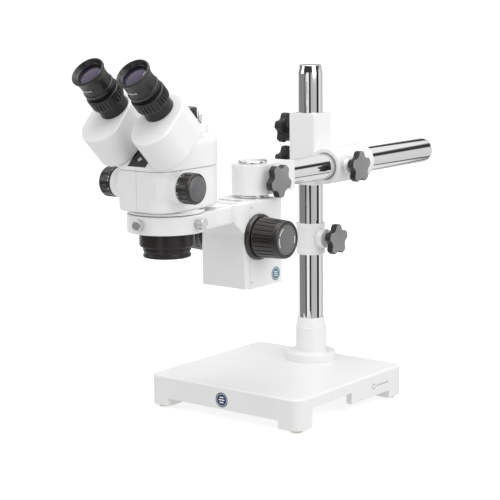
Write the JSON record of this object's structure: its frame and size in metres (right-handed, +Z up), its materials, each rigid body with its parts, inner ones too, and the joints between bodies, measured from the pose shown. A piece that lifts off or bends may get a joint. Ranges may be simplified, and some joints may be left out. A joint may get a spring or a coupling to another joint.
{
  "type": "stereo microscope",
  "caption": "Trinocular stereo zoom microscope head on a rack-and-pinion focus holder, hung from a boom arm on a single column stand.",
  "frame": {"origin": "on the table, under the middle of the base", "axes": "+Z up, +Y to the back along the boom arm, +X to the operator's right; the operator sits on the -Y side"},
  "size_m": [0.234, 0.6464, 0.453],
  "materials": {
    "base_paint": "satin white powder coat on cast iron",
    "white_paint": "satin white paint on die-cast aluminium",
    "chrome": "polished hard chrome on steel bar",
    "steel": "turned and knurled nickel-plated steel",
    "rubber_feet": "matte",
    "star_knob": "moulded black plastic on a steel stud",
    "black_plastic": "satin moulded",
    "black_anodised": "satin black anodised",
    "grey_plastic": "satin",
    "liner_plastic": "matte",
    "brass": "machined",
    "lens_cell": "black anodised",
    "optical_glass": "coated optical glass"
  },
  "bodies": {
    "stand": {"base_casting": "base_paint", "rubber_feet": "rubber_feet", "base_screws": "steel", "column_flange": "white_paint", "column_post": "chrome"},
    "stop_collar": {"stop_collar": "white_paint"},
    "collar_screw": {"collar_knob": "star_knob"},
    "carriage": {"column_liner": "liner_plastic"},
    "clamp": {"cross_clamp": "white_paint"},
    "upper_clamp_screw": {"upper_clamp_knob": "star_knob"},
    "lower_clamp_screw": {"lower_clamp_knob": "star_knob"},
    "arm_clamp_screw": {"arm_clamp_knob": "star_knob"},
    "arm_bush": {"arm_liner": "liner_plastic"},
    "boom": {"boom_arm": "chrome", "arm_head": "white_paint", "arm_set_screws": "steel"},
    "head_lock_screw": {"head_lock_knob": "star_knob"},
    "focus_unit": {"pivot_pin": "chrome", "pin_cap": "chrome", "focus_housing": "white_paint", "pinion_bushes": "brass"},
    "tension_adjuster": {"tension_ring": "black_plastic"},
    "focus_drive": {"pinion_shaft": "steel", "focus_knob_right": "black_plastic", "focus_knob_left": "black_plastic", "focus_knob_caps": "grey_plastic"},
    "focus_slide": {"head_holder": "white_paint", "dovetail_slide": "steel", "focus_rack": "brass"},
    "front_thumb_screw": {"ring_screw_front": "steel"},
    "side_thumb_screw": {"ring_screw_side": "steel"},
    "head": {"pod_body": "white_paint", "pod_flange": "white_paint", "objective_mount": "black_anodised", "objective_lenses": "optical_glass", "pod_cover": "white_paint", "front_plate": "black_plastic", "pod_screws": "steel", "photo_port": "white_paint", "photo_tube": "black_anodised", "guide_rods": "steel"},
    "port_cover": {"port_cap": "black_plastic"},
    "port_thumb_screw": {"port_screw": "steel"},
    "zoom_drive": {"zoom_shaft": "steel", "zoom_knob_right": "black_plastic", "zoom_knob_left": "black_plastic"},
    "upper_zoom_lens": {"upper_lens_group": "lens_cell"},
    "lower_zoom_lens": {"lower_lens_group": "lens_cell"},
    "barrel_right": {"prism_housing_right": "white_paint", "prism_right": "optical_glass", "eyetube_right": "black_anodised"},
    "barrel_left": {"prism_housing_left": "white_paint", "prism_left": "optical_glass", "eyetube_left": "black_anodised"},
    "dioptre_right": {"dioptre_ring_right": "black_plastic"},
    "dioptre_left": {"dioptre_ring_left": "black_plastic"},
    "ocular_right": {"eyepiece_right": "black_anodised", "eye_lens_right": "optical_glass"},
    "ocular_left": {"eyepiece_left": "black_anodised", "eye_lens_left": "optical_glass"}
  },
  "joints": [
    {"name": "stop_collar_height", "type": "slide", "parent": "stand", "child": "stop_collar", "axis": [0, 0, 1], "range_m": [-0.08, 0.045]},
    {"name": "collar_screw_turn", "type": "hinge", "parent": "stop_collar", "child": "collar_screw", "pos_m": [0.036, 0.0737, 0.204], "axis": [1, 0, 0], "range_deg": [0, 360]},
    {"name": "clamp_height", "type": "slide", "parent": "stand", "child": "carriage", "axis": [0, 0, 1], "range_m": [-0.048, 0.048]},
    {"name": "clamp_swing", "type": "hinge", "parent": "carriage", "child": "clamp", "pos_m": [0, 0.0737, 0.3003], "axis": [0, 0, 1], "continuous": true},
    {"name": "upper_clamp_turn", "type": "hinge", "parent": "clamp", "child": "upper_clamp_screw", "pos_m": [-0.034, 0.0737, 0.344], "axis": [-1, 0, 0], "range_deg": [0, 360]},
    {"name": "lower_clamp_turn", "type": "hinge", "parent": "clamp", "child": "lower_clamp_screw", "pos_m": [-0.034, 0.0737, 0.301], "axis": [-1, 0, 0], "range_deg": [0, 360]},
    {"name": "arm_clamp_turn", "type": "hinge", "parent": "clamp", "child": "arm_clamp_screw", "pos_m": [0.071, 0.0737, 0.3003], "axis": [1, 0, 0], "range_deg": [0, 360]},
    {"name": "arm_tilt", "type": "hinge", "parent": "clamp", "child": "arm_bush", "pos_m": [0.0357, 0.0737, 0.3003], "axis": [0, 1, 0], "range_deg": [-45, 45]},
    {"name": "arm_reach", "type": "slide", "parent": "arm_bush", "child": "boom", "axis": [0, 1, 0], "range_m": [-0.14, 0.085]},
    {"name": "head_lock_turn", "type": "hinge", "parent": "boom", "child": "head_lock_screw", "pos_m": [0.07, -0.0944, 0.3003], "axis": [1, 0, 0], "range_deg": [0, 360]},
    {"name": "focus_unit_swing", "type": "hinge", "parent": "boom", "child": "focus_unit", "pos_m": [0.0357, -0.0944, 0.3003], "axis": [0, 0, 1], "range_deg": [-110, 35]},
    {"name": "tension_adjust", "type": "hinge", "parent": "focus_unit", "child": "tension_adjuster", "pos_m": [0.0687, -0.127, 0.237], "axis": [1, 0, 0], "range_deg": [-45, 45]},
    {"name": "focus_travel", "type": "slide", "parent": "focus_unit", "child": "focus_slide", "axis": [0, 0, 1], "range_m": [-0.025, 0.025]},
    {"name": "focus_knob_turn", "type": "hinge", "parent": "focus_unit", "child": "focus_drive", "pos_m": [0.0357, -0.127, 0.237], "axis": [1, 0, 0], "range_deg": [-225, 225]},
    {"name": "front_thumb_turn", "type": "hinge", "parent": "focus_slide", "child": "front_thumb_screw", "pos_m": [0.0357, -0.301, 0.2695], "axis": [0, -1, 0], "range_deg": [0, 360]},
    {"name": "side_thumb_turn", "type": "hinge", "parent": "focus_slide", "child": "side_thumb_screw", "pos_m": [0.084, -0.2533, 0.2695], "axis": [1, 0, 0], "range_deg": [0, 360]},
    {"name": "head_rotation", "type": "hinge", "parent": "focus_slide", "child": "head", "pos_m": [0.0357, -0.2533, 0.2695], "axis": [0, 0, 1], "continuous": true},
    {"name": "port_cap_lift", "type": "slide", "parent": "head", "child": "port_cover", "axis": [0, 0, 1], "range_m": [0, 0.03]},
    {"name": "port_thumb_turn", "type": "hinge", "parent": "head", "child": "port_thumb_screw", "pos_m": [0.0357, -0.221, 0.383], "axis": [0.7071, 0.7071, 0], "range_deg": [0, 360]},
    {"name": "zoom_knob_turn", "type": "hinge", "parent": "head", "child": "zoom_drive", "pos_m": [0.0357, -0.277, 0.312], "axis": [1, 0, 0], "range_deg": [-150, 150]},
    {"name": "upper_zoom_travel", "type": "slide", "parent": "head", "child": "upper_zoom_lens", "axis": [0, 0, 1], "range_m": [-0.0095, 0.0095]},
    {"name": "lower_zoom_travel", "type": "slide", "parent": "head", "child": "lower_zoom_lens", "axis": [0, 0, 1], "range_m": [-0.0095, 0.0095]},
    {"name": "pupil_distance_right", "type": "hinge", "parent": "head", "child": "barrel_right", "pos_m": [0.0592, -0.28636, 0.35062], "axis": [0, -0.7071, 0.7071], "range_deg": [-12.5, 12.5]},
    {"name": "dioptre_turn_right", "type": "hinge", "parent": "barrel_right", "child": "dioptre_right", "pos_m": [0.0682, -0.31394, 0.41214], "axis": [0, -0.7071, 0.7071], "range_deg": [-180, 180]},
    {"name": "ocular_travel_right", "type": "slide", "parent": "barrel_right", "child": "ocular_right", "axis": [0, -0.7071, 0.7071], "range_m": [-0.00238, 0.00238]},
    {"name": "pupil_distance_left", "type": "hinge", "parent": "head", "child": "barrel_left", "pos_m": [0.0122, -0.28636, 0.35062], "axis": [0, -0.7071, 0.7071], "range_deg": [-12.5, 12.5]},
    {"name": "dioptre_turn_left", "type": "hinge", "parent": "barrel_left", "child": "dioptre_left", "pos_m": [0.0032, -0.31394, 0.41214], "axis": [0, -0.7071, 0.7071], "range_deg": [-180, 180]},
    {"name": "ocular_travel_left", "type": "slide", "parent": "barrel_left", "child": "ocular_left", "axis": [0, -0.7071, 0.7071], "range_m": [-0.00238, 0.00238]}
  ],
  "couplings": [
    {"joint": "focus_knob_turn", "follows": "focus_travel", "rad_per_m": -153.85},
    {"joint": "upper_zoom_travel", "follows": "zoom_knob_turn", "m_per_rad": 0.0036},
    {"joint": "lower_zoom_travel", "follows": "zoom_knob_turn", "m_per_rad": -0.0036},
    {"joint": "pupil_distance_left", "follows": "pupil_distance_right", "ratio": -1},
    {"joint": "dioptre_turn_right", "follows": "ocular_travel_right", "rad_per_m": 1315.8},
    {"joint": "dioptre_turn_left", "follows": "ocular_travel_left", "rad_per_m": 1315.8}
  ]
}
